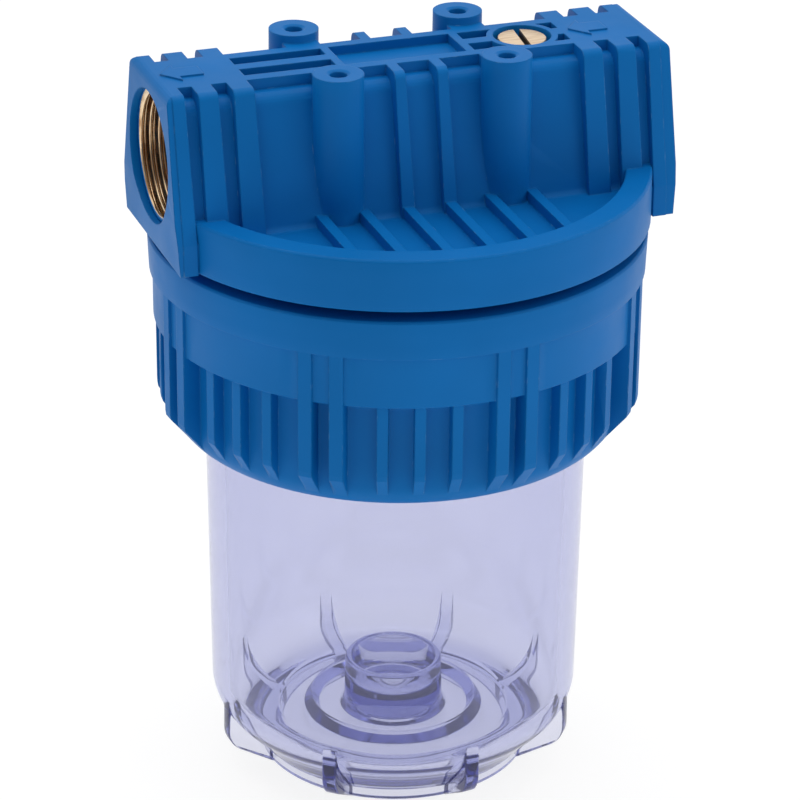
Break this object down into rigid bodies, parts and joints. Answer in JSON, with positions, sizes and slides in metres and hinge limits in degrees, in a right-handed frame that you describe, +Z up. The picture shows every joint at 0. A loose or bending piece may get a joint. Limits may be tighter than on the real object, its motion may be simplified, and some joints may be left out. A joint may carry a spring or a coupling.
{
  "type": "cartridge filter housing",
  "caption": "Water filter housing for a short cartridge: blue ribbed head with brass pipe ports and a vent screw, a screw-on ring nut and a clear bowl.",
  "frame": {"origin": "middle of the bowl's foot ring, at its bottom face", "axes": "+Z up along the axis of the bowl, ring nut and head; +X towards the inlet port; +Y towards the back"},
  "size_m": [0.1298, 0.1264, 0.195],
  "materials": {
    "blue_plastic": "moulded polypropylene with a fine satin texture",
    "brass": "machined, bright",
    "vent_brass": "turned and faced",
    "seal_rubber": "matt black",
    "clear_plastic": "clear with a faint violet tint, polished mould"
  },
  "bodies": {
    "bowl": {"bowl": "clear_plastic", "bowl_seal": "seal_rubber"},
    "head": {"head": "blue_plastic", "inlet_insert": "brass", "outlet_insert": "brass"},
    "ring_nut": {"ring_nut": "blue_plastic"},
    "vent_seal": {"vent_seal": "seal_rubber"},
    "vent_screw": {"vent_screw": "vent_brass"}
  },
  "joints": [
    {"name": "head_rise", "type": "slide", "parent": "bowl", "child": "head", "axis": [0, 0, 1], "range_m": [0, 0.036]},
    {"name": "ring_turn", "type": "hinge", "parent": "bowl", "child": "ring_nut", "pos_m": [0, 0, 0.12], "axis": [0, 0, -1], "range_deg": [0, 2160]},
    {"name": "vent_rise", "type": "slide", "parent": "head", "child": "vent_seal", "axis": [0, 0, 1], "range_m": [0, 0.00375]},
    {"name": "vent_turn", "type": "hinge", "parent": "vent_seal", "child": "vent_screw", "pos_m": [0.0323, 0, 0.188], "axis": [0, 0, 1], "range_deg": [0, 1080]}
  ],
  "couplings": [
    {"joint": "head_rise", "follows": "ring_turn", "m_per_rad": 0.00095492},
    {"joint": "vent_rise", "follows": "vent_turn", "m_per_rad": 0.00019894}
  ]
}
